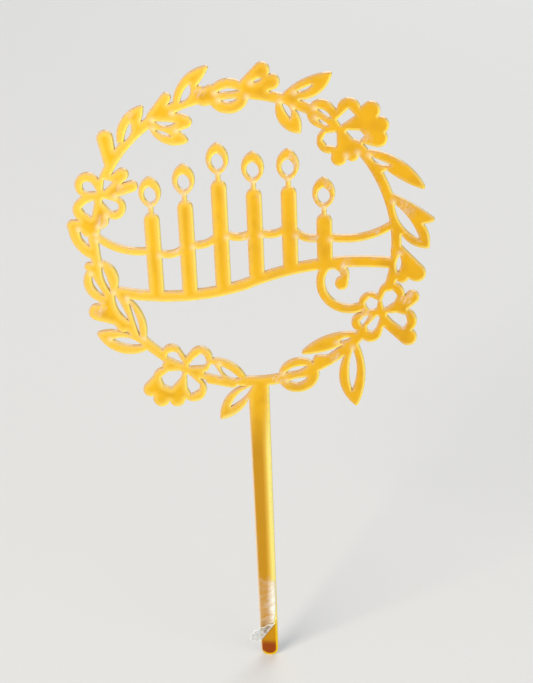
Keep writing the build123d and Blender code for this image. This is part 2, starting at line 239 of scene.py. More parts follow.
def rim_distance(mesh: bpy.types.Mesh, size: int = 400) -> np.ndarray:
    """Distance of each point of an open mesh from the nearest point of its rim.

    A side that only one face has is on the rim.

    Args:
        mesh: open mesh.
        size: points handled at a time, to keep the distance tables small.

    Returns:
        One distance for each point, in millimetres.
    """
    points = mesh_points(mesh)
    sides = np.empty(len(mesh.loops), np.int32)
    mesh.loops.foreach_get("edge_index", sides)
    ends = np.empty(2 * len(mesh.edges), np.int32)
    mesh.edges.foreach_get("vertices", ends)
    single = np.bincount(sides, minlength=len(mesh.edges)) == 1
    rim = points[np.unique(ends.reshape(-1, 2)[single])]
    return np.concatenate(
        [
            np.linalg.norm(block[:, None, :] - rim, axis=2).min(axis=1)
            for block in np.array_split(points, max(1, len(points) // size))
        ]
    )


def set_attribute(mesh: bpy.types.Mesh, name: str, values: np.ndarray) -> None:
    """Store one number for each point of a mesh, for its material to read."""
    attribute = mesh.attributes.new(name, "FLOAT", "POINT")
    attribute.data.foreach_set("value", values.astype(np.float32))


def thicken(piece: bpy.types.Object, thickness: float, offset: float) -> None:
    """Give a surface its thickness in millimetres as a live Solidify."""
    layer = piece.modifiers.new("thickness", "SOLIDIFY")
    layer.thickness = thickness * MM
    layer.offset = offset


# The cut line of the sheet


def height_groups(places: np.ndarray, size: int = 500) -> list[np.ndarray]:
    """Indices of places in groups of neighbours by height, to keep the distance tables small."""
    order = np.argsort(places[:, 1])
    return np.array_split(order, max(1, len(order) // size))


def hex_places(low: np.ndarray, high: np.ndarray, pitch: float) -> np.ndarray:
    """Places on a honeycomb grid over a box.

    Rows are pitch * sqrt(3) / 2 apart, and every other row is shifted by half a pitch.

    Args:
        low: lowest x and z.
        high: highest x and z.
        pitch: distance between neighbours.

    Returns:
        x and z rows.
    """
    rows = np.arange(low[1], high[1], pitch * math.sqrt(3) / 2)
    columns = np.arange(low[0], high[0], pitch)
    x, z = np.meshgrid(columns, rows)
    shifted = x + 0.5 * pitch * (np.arange(len(rows)) % 2)[:, None]
    return np.stack([shifted.ravel(), z.ravel()], axis=1)


@dataclass(frozen=True)
class CutLine:
    """Closed loops of the laser's cut, seen from the front, with the sheet on the left of travel.

    Attributes:
        points: x and z rows in millimetres, loop after loop.
        starts: first index of each loop, and the number of points at the end.
    """

    points: np.ndarray
    starts: np.ndarray

    @classmethod
    def of_front(cls, node: bpy.types.Object) -> "CutLine":
        """Read the loops round the front face of a flat solid.

        An edge of the front triangles is on a loop if no triangle has it the other way round. The loops are
        put in order by list ranking: each point jumps 1, 2, 4, 8 ... places ahead, which gives the lowest
        index of its loop and its distance from the loop's end.

        Args:
            node: CAD node of the sheet.

        Returns:
            The loops as the solid's own facets have them.
        """
        mesh = node.data
        points = mesh_points(mesh)
        mesh.calc_loop_triangles()
        corners = np.empty(3 * len(mesh.loop_triangles), np.int32)
        mesh.loop_triangles.foreach_get("vertices", corners)
        triangles = corners.reshape(-1, 3)
        on_front = points[:, 1] < points[:, 1].min() + ON_FRONT
        flat = np.round(points[:, [0, 2]], decimals=3)
        places, merged = np.unique(flat, axis=0, return_inverse=True)
        triangles = merged.reshape(-1)[triangles[on_front[triangles].all(axis=1)]]
        tail = triangles.ravel()
        head = np.roll(triangles, -1, axis=1).ravel()
        on_loop = ~np.isin(head * len(places) + tail, tail * len(places) + head)
        tail, head = tail[on_loop], head[on_loop]
        used = np.unique(tail)
        following = np.empty(len(used), int)
        following[np.searchsorted(used, tail)] = np.searchsorted(used, head)
        here = np.arange(len(used))
        lowest = here.copy()
        jump = following.copy()
        for _ in range(len(used).bit_length()):
            lowest = np.minimum(lowest, lowest[jump])
            jump = jump[jump]
        last = following == lowest
        to_end = np.where(last, 0, 1)
        jump = np.where(last, here, following)
        for _ in range(len(used).bit_length()):
            to_end = to_end + to_end[jump]
            jump = jump[jump]
        order = np.lexsort((-to_end, lowest))
        starts = np.flatnonzero(np.diff(lowest[order], prepend=-1))
        return cls(places[used[order]], np.append(starts, len(order)))

    def following(self) -> np.ndarray:
        """Index of the next point on the loop of each point."""
        index = np.arange(1, len(self.points) + 1)
        index[self.starts[1:] - 1] = self.starts[:-1]
        return index

    def preceding(self) -> np.ndarray:
        """Index of the point before each point on its loop."""
        index = np.arange(-1, len(self.points) - 1)
        index[self.starts[:-1]] = self.starts[1:] - 1
        return index

    def refined(self, step: float, corner_deg: float = 16.0, straight: float = 3.0) -> "CutLine":
        """Divide each side with a cubic Hermite curve, so that round stretches are round.

        The tangent at a point is midway between the directions of its two sides. A side much longer than
        the other is straight and gives the tangent alone. At a corner, each side keeps its own direction.

        Args:
            step: longest side, in millimetres.
            corner_deg: a point that turns by more than this is a corner.
            straight: how many times longer than its neighbour a straight side is.

        Returns:
            The finer loops.
        """
        after, before = self.following(), self.preceding()
        side = self.points[after] - self.points
        length = np.linalg.norm(side, axis=1)
        heading = unit(side)
        turn = np.sum(heading * heading[before], axis=1) < math.cos(math.radians(corner_deg))
        tangent = unit(heading + heading[before])
        tangent = np.where((length > straight * length[before])[:, None], heading, tangent)
        tangent = np.where((length[before] > straight * length)[:, None], heading[before], tangent)
        leaving = np.where(turn[:, None], heading, tangent) * length[:, None]
        arriving = np.where(turn[after][:, None], heading, tangent[after]) * length[:, None]
        parts = np.maximum(1, np.ceil(length / step)).astype(int)
        ends = np.cumsum(parts)
        source = np.repeat(np.arange(len(parts)), parts)
        share = ((np.arange(ends[-1]) - (ends - parts)[source]) / parts[source])[:, None]
        points = (
            (2 * share**3 - 3 * share**2 + 1) * self.points[source]
            + (share**3 - 2 * share**2 + share) * leaving[source]
            + (3 * share**2 - 2 * share**3) * self.points[after][source]
            + (share**3 - share**2) * arriving[source]
        )
        return CutLine(points, np.append(0, ends)[self.starts])

    def outward(self, least: float = 0.65) -> np.ndarray:
        """Direction away from the sheet at each point, longer at corners, so that offsets keep their width.

        Args:
            least: the direction is at most 1 / least long, which blunts offsets at sharp corners.

        Returns:
            x and z rows.
        """
        heading = unit(self.points[self.following()] - self.points)
        normal = np.stack([heading[:, 1], -heading[:, 0]], axis=1)
        middle = unit(normal + normal[self.preceding()])
        reach = np.sum(middle * normal, axis=1, keepdims=True)
        return middle / np.maximum(reach, least)

    def window_tips(self, turn_deg: float) -> np.ndarray:
        """Indices of the points at window tips, where a clockwise loop turns by more than an angle."""
        heading = unit(self.points[self.following()] - self.points)
        coming = heading[self.preceding()]
        turn = coming[:, 0] * heading[:, 1] - coming[:, 1] * heading[:, 0]
        sharp = np.sum(coming * heading, axis=1) < math.cos(math.radians(turn_deg))
        x, z = self.points.T
        after = self.following()
        area = np.add.reduceat(x * z[after] - x[after] * z, self.starts[:-1])
        on_window = np.repeat(area < 0, np.diff(self.starts))
        return np.flatnonzero(sharp & (turn < 0) & on_window)

    def kept(self, wanted: np.ndarray) -> "CutLine":
        """The loops with only the wanted points, joined straight across what is left out."""
        counts = np.add.reduceat(wanted.astype(int), self.starts[:-1])
        return CutLine(self.points[wanted], np.append(0, np.cumsum(counts[counts > 0])))

    def contains(self, places: np.ndarray) -> np.ndarray:
        """Whether places are on the sheet: a level ray from one crosses the loops an odd number of times.

        Args:
            places: x and z rows.

        Returns:
            True for each place on the sheet.
        """
        after = self.points[self.following()]
        low = np.minimum(self.points[:, 1], after[:, 1])
        high = np.maximum(self.points[:, 1], after[:, 1])
        inside = np.empty(len(places), bool)
        for group in height_groups(places):
            x, z = places[group, :1], places[group, 1:]
            near = (high >= z.min()) & (low <= z.max()) & (high > low)
            start, end = self.points[near], after[near]
            spans = (start[:, 1] <= z) != (end[:, 1] <= z)
            share = (z - start[:, 1]) / (end[:, 1] - start[:, 1])
            crossing = start[:, 0] + share * (end[:, 0] - start[:, 0])
            inside[group] = np.sum(spans & (crossing > x), axis=1) % 2 == 1
        return inside

    def nearest(self, places: np.ndarray, reach: float = 6.0) -> tuple[np.ndarray, np.ndarray]:
        """Distance of places from the cut line, and the point of the loops that is nearest.

        The distance is to the nearer of the two sides that meet at that point.

        Args:
            places: x and z rows.
            reach: longest distance of interest.

        Returns:
            Distances in millimetres, no more than reach, and indices of points.
        """
        found = np.empty(len(places), int)
        for group in height_groups(places):
            block = places[group]
            low, high = block[:, 1].min() - reach, block[:, 1].max() + reach
            near = np.flatnonzero((self.points[:, 1] > low) & (self.points[:, 1] < high))
            away = block[:, None, :] - self.points[near]
            found[group] = near[np.argmin(away[..., 0] ** 2 + away[..., 1] ** 2, axis=1)]
        side = self.points[self.following()] - self.points
        square = np.maximum(np.sum(side * side, axis=1), 1e-9)
        gaps = []
        for first in (found, self.preceding()[found]):
            offset = places - self.points[first]
            share = np.clip(np.sum(offset * side[first], axis=1) / square[first], 0, 1)
            gaps.append(np.linalg.norm(offset - share[:, None] * side[first], axis=1))
        return np.minimum(np.minimum(*gaps), reach), found

    def swept(self, profile: np.ndarray) -> tuple[np.ndarray, np.ndarray]:
        """Carry a profile along every loop.

        Args:
            profile: rows of inset into the sheet and y, from front to back.

        Returns:
            Points, and quads that face away from the sheet.
        """
        flat = self.points[:, None, :] - profile[None, :, :1] * self.outward()[:, None, :]
        depth = np.broadcast_to(profile[:, 1], flat.shape[:2])
        points = np.stack([flat[..., 0], depth, flat[..., 1]], axis=2).reshape(-1, 3)
        columns = len(profile)
        near = (np.arange(len(self.points)) * columns)[:, None] + np.arange(columns - 1)
        far = (self.following() * columns)[:, None] + np.arange(columns - 1)
        quads = np.stack([near, near + 1, far + 1, far], axis=2).reshape(-1, 4)
        return points, quads

    def filled(self, inset: float, inside: np.ndarray) -> tuple[np.ndarray, np.ndarray]:
        """Fill the loops with triangles through a set of places, by constrained Delaunay triangulation.

        Args:
            inset: distance of the rim into the sheet.
            inside: x and z rows of places between the loops.

        Returns:
            x and z rows, and triangles that run counter-clockwise seen from the front.
        """
        rim = self.points - inset * self.outward()
        places = np.concatenate([rim, inside])
        sides = np.stack([np.arange(len(rim)), self.following()], axis=1)
        found = delaunay_2d_cdt(places.tolist(), sides.tolist(), [], 0, 1e-5, False)
        flat, triangles = np.array([tuple(place) for place in found[0]]), np.array(found[2])
        return flat, triangles[CutLine(rim, self.starts).contains(flat[triangles].mean(axis=1))]


# Finishes


@dataclass(frozen=True)
class GoldMirrorAcrylic:
    """Amber-tinted cast acrylic with a mirror coat behind it.

    The coat gives a satin metal's gloss and the tint its gold. Painted shade makes it darker on the right,
    away from the light on the left, and a painted darker reflection makes it darker down the pick. Painted
    highlights stand for light that runs in the sheet: they pale the lit edges of the wreath and a band
    along the pick, draw a bright yellow line along the cuts that face away from the light and a thin tan
    line along those that face it. Painted white glints sit at the tips of the cut-out windows on the side
    of the light. Where the film is off, the surface is clearer and its amber deeper, partly for a painted
    darker reflection, a painted dark reflection lies low on the point, and the painted bright line is
    thin and runs on round the point.
    """

    # Painted highlight and shade across the sheet: lit towards the light on the left, dim away from it
    lit_gold: str = "EEB810"
    dim_gold: str = "E6AC00"
    # Darker on the pick: a painted darker reflection
    pick_gold: str = "C48C00"
    # Painted highlights for light that runs in the sheet: pale bands and bright lines along the cuts away
    # from the light
    lit_pale: str = "F2C648"
    pick_pale: str = "EEC24A"
    wreath_line: str = "F2DA50"
    pick_line: str = "F4E87E"
    bare_line: str = "F0C600"
    # Painted tan highlight along cuts that face the light, lit and dim across the wreath
    lit_near: str = "EAC084"
    dim_near: str = "DE9C1C"
    pick_near: str = "F2CE92"
    # amber serves the mottle and the bare point, where its depth is partly a painted darker reflection; the
    # colour after it is a painted dark reflection low on the point
    amber: str = "CB8F02"
    painted_dark_reflection: str = "9C4400"
    # Colour of the painted white glints at the window tips
    painted_glint: str = "F2E6CC"
    mottle_mm: float = 8.0

    def material(self) -> bpy.types.Material:
        """Build the node material."""
        material, tree = new_material("gold_mirror_acrylic_cast_and_coated")
        place = add_node(tree, "ShaderNodeTexCoord").outputs["Object"]
        across = add_node(tree, "ShaderNodeSeparateXYZ", Vector=place).outputs["X"]
        depth, far, pick, bare, shade, painted_glint = (
            add_node(tree, "ShaderNodeAttribute", {"attribute_name": name}).outputs["Fac"]
            for name in ("edge_depth", "far_side", "pick", "bare", "shade", "painted_glint")
        )
        cloud = add_node(
            tree, "ShaderNodeTexNoise", Vector=place, Scale=per_metre(self.mottle_mm), Detail=4.0
        ).outputs["Fac"]
        # Name, source, and where the share is 0 and 1
        spans = (
            ("mottle", cloud, 0.4, 0.9),
            # lit: share of painted highlight across the sheet, full towards the light on the left
            ("lit", across, 42.0 * MM, -46.0 * MM),
            ("edge", depth, 2.2, 0.8),
            ("band", depth, 3.2, 1.1),
            ("line", depth, 1.9, 0.8),
            ("rim", depth, 0.9, 0.35),
            ("thin", depth, 0.5, 0.2),
            ("away", far, 0.4, 0.95),
            ("towards", far, 0.55, 0.15),
            ("round", far, 0.2, 0.45),
        )
        shares: dict[str, bpy.types.NodeSocket] = {}
        for name, source, none, full in spans:
            limits = {"Value": source, "From_Min": none, "From_Max": full}
            settings = {"interpolation_type": "SMOOTHSTEP"}
            shares[name] = add_node(tree, "ShaderNodeMapRange", settings, **limits).outputs[0]
        # Name, and the two shares that are multiplied
        products = (
            # Masks of the painted highlights along the cuts
            ("lit_edge", "edge", "lit"),
            ("far_band", "band", "away"),
            ("far_line", "line", "away"),
            ("far_rim", "rim", "away"),
            ("near_rim", "thin", "towards"),
            ("bare_rim", "rim", "round"),
        )
        for name, first, second in products:
            settings = {"operation": "MULTIPLY", "inputs": {0: shares[first], 1: shares[second]}}
            shares[name] = add_node(tree, "ShaderNodeMath", settings).outputs[0]
        # Name, share of the second colour, first colour and second colour
        mixes = (
            # Painted shade across the wreath, darker to the right
            ("wreath_plain", shares["lit"], linear(self.dim_gold), linear(self.lit_gold)),
            # Darker down the pick: a painted darker reflection
            ("plain", pick, "wreath_plain", linear(self.pick_gold)),
            ("body", shares["mottle"], "plain", linear(self.amber)),
            # Painted highlights along the cuts of the wreath and the pick
            ("wreath_paled", shares["lit_edge"], "body", linear(self.lit_pale)),
            ("wreath_lined", shares["far_rim"], "wreath_paled", linear(self.wreath_line)),
            ("pick_paled", shares["far_band"], "body", linear(self.pick_pale)),
            ("pick_lined", shares["far_line"], "pick_paled", linear(self.pick_line)),
            ("covered", pick, "wreath_lined", "pick_lined"),
            # Bare point: painted dark reflection low down, and a painted bright line round it
            ("tip", shade, linear(self.amber), linear(self.painted_dark_reflection)),
            ("uncovered", shares["bare_rim"], "tip", linear(self.bare_line)),
            ("face", bare, "covered", "uncovered"),
            # Painted tan highlight along the cuts that face the light
            ("wreath_near", shares["lit"], linear(self.dim_near), linear(self.lit_near)),
            ("near", pick, "wreath_near", linear(self.pick_near)),
            ("lined", shares["near_rim"], "face", "near"),
            # Painted white glints at the window tips on the side of the light
            ("all", painted_glint, "lined", linear(self.painted_glint)),
        )
        made: dict[str, bpy.types.NodeSocket] = {}
        for name, share, first, second in mixes:
            sockets = {0: share, 6: made.get(first, first), 7: made.get(second, second)}
            settings = {"data_type": "RGBA", "inputs": sockets}
            made[name] = add_node(tree, "ShaderNodeMix", settings).outputs[2]
        gloss = add_node(tree, "ShaderNodeMapRange", Value=bare, To_Min=0.3, To_Max=0.1).outputs[0]
        bump = add_node(tree, "ShaderNodeBump", Strength=0.7, Distance=0.4 * MM, Height=cloud).outputs[0]
        shader = add_node(
            tree,
            "ShaderNodeBsdfPrincipled",
            Base_Color=made["all"],
            Metallic=0.6,
            Roughness=gloss,
            Normal=bump,
        )
        show(tree, shader)
        return material


@dataclass(frozen=True)
class LaserCutEdge:
    """Wall of tinted acrylic that the laser melted glossy, with faint lines through the thickness.

    The sides that face away from the light are painted yellower: a painted glow for light that the
    sheet pipes to this wall.

    Attributes:
        line_draw: how many times longer than wide the lines are.
    """

    # near and far: painted light, the wall's colour on the sides towards and away from the light
    near: str = "D2A468"
    far: str = "ECD852"
    dark: str = "B8822C"
    line_mm: float = 0.35
    line_draw: float = 20.0

    def material(self) -> bpy.types.Material:
        """Build the node material."""
        material, tree = new_material("laser_cut_acrylic_edge")
        place = add_node(tree, "ShaderNodeTexCoord").outputs["Object"]
        side = add_node(tree, "ShaderNodeAttribute", {"attribute_name": "far_side"}).outputs["Fac"]
        drawn = (1.0, 1 / self.line_draw, 1.0)
        across = add_node(tree, "ShaderNodeMapping", Vector=place, Scale=drawn).outputs[0]
        lines = add_node(
            tree, "ShaderNodeTexNoise", Vector=across, Scale=per_metre(self.line_mm), Detail=1.0
        ).outputs["Fac"]
        streak = add_node(
            tree, "ShaderNodeMapRange", Value=lines, From_Min=0.3, From_Max=0.8, To_Max=0.5
        ).outputs[0]
        sides = {"data_type": "RGBA", "inputs": {0: side, 6: linear(self.near), 7: linear(self.far)}}
        wall = add_node(tree, "ShaderNodeMix", sides).outputs[2]
        streaks = {"data_type": "RGBA", "inputs": {0: streak, 6: wall, 7: linear(self.dark)}}
        colour = add_node(tree, "ShaderNodeMix", streaks).outputs[2]
        bump = add_node(tree, "ShaderNodeBump", Strength=0.2, Distance=0.02 * MM, Height=lines).outputs[0]
        shader = add_node(
            tree, "ShaderNodeBsdfPrincipled", Base_Color=colour, Roughness=0.2, IOR=1.49, Normal=bump
        )
        show(tree, shader)
        return material


@dataclass(frozen=True)
class BackingLacquer:
    """Grey lacquer rolled over the mirror coat: matt, faintly grainy, scorched brown along the cut.

    Attributes:
        scorch_most: share of the scorch's colour next to the cut.
        scorch_mm: distances from the cut where the scorch begins to fade and where it ends.
    """

    grey: str = "868581"
    pale: str = "A3A29D"
    scorch: str = "5E4A33"
    grain_mm: float = 0.6
    roll_mm: float = 14.0
    scorch_most: float = 0.8
    scorch_mm: tuple[float, float] = (0.1, 0.7)

    def material(self) -> bpy.types.Material:
        """Build the node material."""
        material, tree = new_material("grey_backing_lacquer_rolled")
        place = add_node(tree, "ShaderNodeTexCoord").outputs["Object"]
        depth = add_node(tree, "ShaderNodeAttribute", {"attribute_name": "edge_depth"}).outputs["Fac"]
        cloud = add_node(
            tree, "ShaderNodeTexNoise", Vector=place, Scale=per_metre(self.roll_mm), Detail=4.0
        ).outputs["Fac"]
        grain = add_node(
            tree, "ShaderNodeTexNoise", Vector=place, Scale=per_metre(self.grain_mm), Detail=3.0
        ).outputs["Fac"]
        near = add_node(
            tree,
            "ShaderNodeMapRange",
            {"interpolation_type": "SMOOTHSTEP"},
            Value=depth,
            From_Min=self.scorch_mm[0],
            From_Max=self.scorch_mm[1],
            To_Min=self.scorch_most,
            To_Max=0.0,
        ).outputs[0]
        scorched = add_node(
            tree, "ShaderNodeMath", {"operation": "MULTIPLY", "inputs": {0: near, 1: cloud}}
        ).outputs[0]
        greys = {"data_type": "RGBA", "inputs": {0: cloud, 6: linear(self.grey), 7: linear(self.pale)}}
        grey = add_node(tree, "ShaderNodeMix", greys).outputs[2]
        edges = {"data_type": "RGBA", "inputs": {0: scorched, 6: grey, 7: linear(self.scorch)}}
        colour = add_node(tree, "ShaderNodeMix", edges).outputs[2]
        bump = add_node(tree, "ShaderNodeBump", Strength=0.25, Distance=0.03 * MM, Height=grain).outputs[0]
        shader = add_node(
            tree, "ShaderNodeBsdfPrincipled", Base_Color=colour, Roughness=0.55, Normal=bump
        )
        show(tree, shader)
        return material


@dataclass(frozen=True)
class ShopFilm:
    """Clear blown polyethylene film: glossy and all but unseen, and milky in wisps where air is under it.

    Thin haze is wispy, and cream where the film lies on the gold: painted light reflected from the gold
    under it. Thick haze is even and white.

    Attributes:
        wisp_draw: how many times longer than wide the wisps are.
        wisp_span: noise between the wisps and in their middles.
        wisp_share: share of thin haze between the wisps and in their middles.
    """

    name: str = "clear_polyethylene_film_blown"
    # thin: painted light, cream for light reflected from the gold under the film
    thin: str = "E4DAC4"
    thick: str = "F6F5EC"
    clear_alpha: float = 0.004
    milky_alpha: float = 0.95
    wisp_mm: float = 1.2
    wisp_draw: float = 2.4
    wisp_lean_deg: float = 24.0
    wisp_span: tuple[float, float] = (0.34, 0.66)
    wisp_share: tuple[float, float] = (0.1, 1.7)

    def material(self) -> bpy.types.Material:
        """Build the node material."""
        material, tree = new_material(self.name)
        place = add_node(tree, "ShaderNodeTexCoord").outputs["Object"]
        haze = add_node(tree, "ShaderNodeAttribute", {"attribute_name": "haze"}).outputs["Fac"]
        lean = (0.0, math.radians(-self.wisp_lean_deg), 0.0)
        drawn = add_node(
            tree,
            "ShaderNodeMapping",
            {"vector_type": "TEXTURE"},
            Vector=place,
            Rotation=lean,
            Scale=(self.wisp_draw, 1.0, 1.0),
        ).outputs[0]
        wisps = add_node(
            tree, "ShaderNodeTexNoise", Vector=drawn, Scale=per_metre(self.wisp_mm), Detail=3.0
        ).outputs["Fac"]
        broken = add_node(
            tree,
            "ShaderNodeMapRange",
            Value=wisps,
            From_Min=self.wisp_span[0],
            From_Max=self.wisp_span[1],
            To_Min=self.wisp_share[0],
            To_Max=self.wisp_share[1],
        ).outputs[0]
        wispy = add_node(
            tree, "ShaderNodeMath", {"operation": "MULTIPLY", "inputs": {0: haze, 1: broken}}
        ).outputs[0]
        closed = {"data_type": "FLOAT", "inputs": {0: haze, 2: wispy, 3: haze}}
        milk = add_node(tree, "ShaderNodeMix", closed).outputs[0]
        alpha = add_node(
            tree, "ShaderNodeMapRange", Value=milk, To_Min=self.clear_alpha, To_Max=self.milky_alpha
        ).outputs[0]
        # Painted light: thin haze takes the painted tint, thick haze is white
        tints = {"data_type": "RGBA", "inputs": {0: milk, 6: linear(self.thin), 7: linear(self.thick)}}
        tint = add_node(tree, "ShaderNodeMix", tints).outputs[2]
        bump = add_node(tree, "ShaderNodeBump", Strength=0.3, Distance=0.05 * MM, Height=wisps).outputs[0]
        shader = add_node(
            tree,
            "ShaderNodeBsdfPrincipled",
            Base_Color=tint,
            Roughness=0.25,
            IOR=1.51,
            Alpha=alpha,
            Normal=bump,
        )
        show(tree, shader)
        return material


@dataclass(frozen=True)
class StudioPaper:
    """Pale matt paper of the studio floor."""

    tone: str = "D6D6D4"

    def material(self) -> bpy.types.Material:
        """Build the node material."""
        material, tree = new_material("matt_studio_paper")
        show(tree, add_node(tree, "ShaderNodeBsdfPrincipled", Base_Color=linear(self.tone), Roughness=0.8))
        return material


# Sub-assemblies


@dataclass(frozen=True)
class Crease:
    """Line across the pick where the film turns over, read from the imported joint.

    Attributes:
        middle: x and z of its middle.
        along: unit direction, up to the right.
        axis_y: y of the axis that the film turns about.
        low: places below this many times the height of the crease are low on the pick.
        elsewhere: what stands for the distance past the crease of all other places.
    """

    middle: np.ndarray
    along: np.ndarray
    axis_y: float
    low: float = 2.5
    elsewhere: float = -99.0

    @classmethod
    def of_joint(cls, name: str) -> "Crease":
        """Read the crease from the hinge of that name."""
        joint = next(item for item in frame["joints"] if item["name"] == name)
        place = np.array(joint["pos_m"]) / MM
        heading = np.array(joint["axis"], float)[[0, 2]]
        return cls(place[[0, 2]], heading / np.linalg.norm(heading), float(place[1]))

    def across(self) -> np.ndarray:
        """Unit direction from the crease towards the point of the pick."""
        return np.array([self.along[1], -self.along[0]])

    def beyond(self, places: np.ndarray) -> np.ndarray:
        """Distance of places past the crease. Places that are not low on the pick are well before it."""
        on_end = places[:, 1] < self.low * self.middle[1]
        return np.where(on_end, (places - self.middle) @ self.across(), self.elsewhere)


@dataclass
class Sheet:
    """The gold sheet: flat face, melted lip and cut walls, and the grey backing on its back.

    Attributes:
        front_y: y of the face.
        back_y: y of the back.
        crest: insets where the lip's flat crest begins and ends, in halves of the lip's width.
        face_gap: least distance of the face's places from the lip, in pitches.
        light_from: direction along the face towards the light, as x and z.
        bare_fade: width over which the look changes at the crease. The other fades are alike.
        painted_glint: strength of the painted white glints at window tips.
        tip_turn_deg: a window's cut that turns by more than this has a tip there.
        tip_lit: how far a tip points towards the light to have a spot, 1 for straight at it.
    """

    front_y: float
    back_y: float
    backing: float = 0.12
    lip_width: float = 0.22
    lip_height: float = 0.02
    crest: tuple[float, float] = (1.3, 0.7)
    taper: float = 0.04
    step: float = 0.45
    pitch: float = 0.7
    face_gap: float = 0.4
    sharp_deg: float = 35.0
    light_from: tuple[float, float] = (-0.8, 0.6)
    bare_fade: float = 0.3
    shade_height: float = 5.4
    shade_fade: float = 2.6
    pick_top: float = 98.0
    pick_fade: float = 22.0
    painted_glint: float = 0.5
    painted_glint_size: float = 0.8
    tip_turn_deg: float = 50.0
    tip_lit: float = 0.5
    lip_points: int = 5
    wall_points: int = 4
    back_points: int = 4
    line: CutLine = field(init=False)
    inside: np.ndarray = field(init=False)

    def trace(self, node: bpy.types.Object) -> None:
        """Read the cut line from the sheet's solid, and spread places for the face between its loops."""
        self.line = CutLine.of_front(node).refined(self.step)
        places = hex_places(self.line.points.min(axis=0), self.line.points.max(axis=0), self.pitch)
        places = places[self.line.contains(places)]
        self.inside = places[self.line.nearest(places)[0] > self.lip_width + self.face_gap * self.pitch]

    def build_face(self) -> bpy.types.Object:
        """Face and walls. A rounded lip is carried along the cut, and the face is filled between the lips.

        Returns:
            The object, in the zones of its face and its edge.
        """
        turn = np.linspace(0, math.pi / 2, self.lip_points)[1:]
        bead = self.lip_width / 2
        top = self.front_y - self.lip_height
        rise, drop = self.crest
        lip = np.array([[2 * bead, self.front_y], [rise * bead, top], [drop * bead, top]])
        rounding = np.stack([drop * bead * (1 - np.sin(turn)), top + bead * (1 - np.cos(turn))], axis=1)
        wall_y = np.linspace(top + bead, self.back_y - self.backing, self.wall_points)[1:]
        wall_inset = -self.taper * (wall_y - self.front_y) / (self.back_y - self.front_y)
        wall = np.stack([wall_inset, wall_y], axis=1)
        profile = np.concatenate([lip, rounding, wall])
        points, quads = self.line.swept(profile)
        flat, triangles = self.line.filled(self.lip_width, self.inside)
        face = np.stack([flat[:, 0], np.full(len(flat), self.front_y), flat[:, 1]], axis=1)
        on_lip = np.tile(np.arange(len(profile) - 1) < len(lip) - 1, len(self.line.points))
        return make_piece(
            "gold_sheet",
            np.concatenate([points, face]),
            [quads[on_lip], quads[~on_lip], triangles + len(points)],
            [Zone.FACE.value, Zone.EDGE.value, Zone.FACE.value],
            self.sharp_deg,
        )

    def build_backing(self) -> bpy.types.Object:
        """Backing: a thin layer with a rounded back edge, filled across the back.

        Returns:
            The object.
        """
        turn = np.linspace(0, math.pi / 2, self.back_points)
        inset = -self.taper + self.backing * (1 - np.cos(turn))
        depth = self.back_y - self.backing * (1 - np.sin(turn))
        points, quads = self.line.swept(np.stack([inset, depth], axis=1))
        flat, triangles = self.line.filled(float(inset[-1]), self.inside)
        back = np.stack([flat[:, 0], np.full(len(flat), self.back_y), flat[:, 1]], axis=1)
        return make_piece(
            "mirror_backing",
            np.concatenate([points, back]),
            [quads, triangles[:, ::-1] + len(points)],
            [0, 0],
            self.sharp_deg,
        )

    def painted_glints(self, places: np.ndarray) -> np.ndarray:
        """Painted white glints at the window tips on the side of the light, a soft round spot at each.

        Args:
            places: x and z rows.

        Returns:
            0 away from the tips to the full painted glint at the middle of a spot.
        """
        tips = self.line.window_tips(self.tip_turn_deg)
        into = -unit(self.line.outward()[tips])
        lit = into @ np.array(self.light_from) > self.tip_lit
        middles = (self.line.points[tips] + self.painted_glint_size * into)[lit]
        away = np.full(len(places), np.inf)
        for middle in middles:
            away = np.minimum(away, np.linalg.norm(places - middle, axis=1))
        return self.painted_glint * np.exp(-((away / self.painted_glint_size) ** 2))

    def dress(self, face: bpy.types.Object, backing: bpy.types.Object, crease: Crease) -> None:
        """Give both objects their finishes and the numbers that these read.

        Args:
            face: object of build_face.
            backing: object of build_backing.
            crease: where the film ends, which leaves the face below it bare.
        """
        outward = unit(self.line.outward())
        for piece in (face, backing):
            depth, nearest = self.line.nearest(mesh_points(piece.data)[:, [0, 2]])
            set_attribute(piece.data, "edge_depth", depth)
            # far_side: 0 on cuts that face the light to 1 on those that face away, which places the painted
            # highlights and the wall's painted glow
            set_attribute(piece.data, "far_side", 0.5 - 0.5 * outward[nearest] @ np.array(self.light_from))
        places = mesh_points(face.data)[:, [0, 2]]
        set_attribute(face.data, "bare", smooth(0.5 + crease.beyond(places) / self.bare_fade))
        height = places[:, 1]
        # shade: where the painted dark reflection lies, low on the bare point
        set_attribute(face.data, "shade", smooth(0.5 + (self.shade_height - height) / self.shade_fade))
        # pick: share of the pick, which takes the painted darker reflection and the pick's painted
        # highlights
        set_attribute(face.data, "pick", smooth((self.pick_top - height) / self.pick_fade))
        # Painted white glints at the window tips that face the light
        set_attribute(face.data, "painted_glint", self.painted_glints(places))
        face.data.materials.append(GoldMirrorAcrylic().material())
        face.data.materials.append(LaserCutEdge().material())
        backing.data.materials.append(BackingLacquer().material())


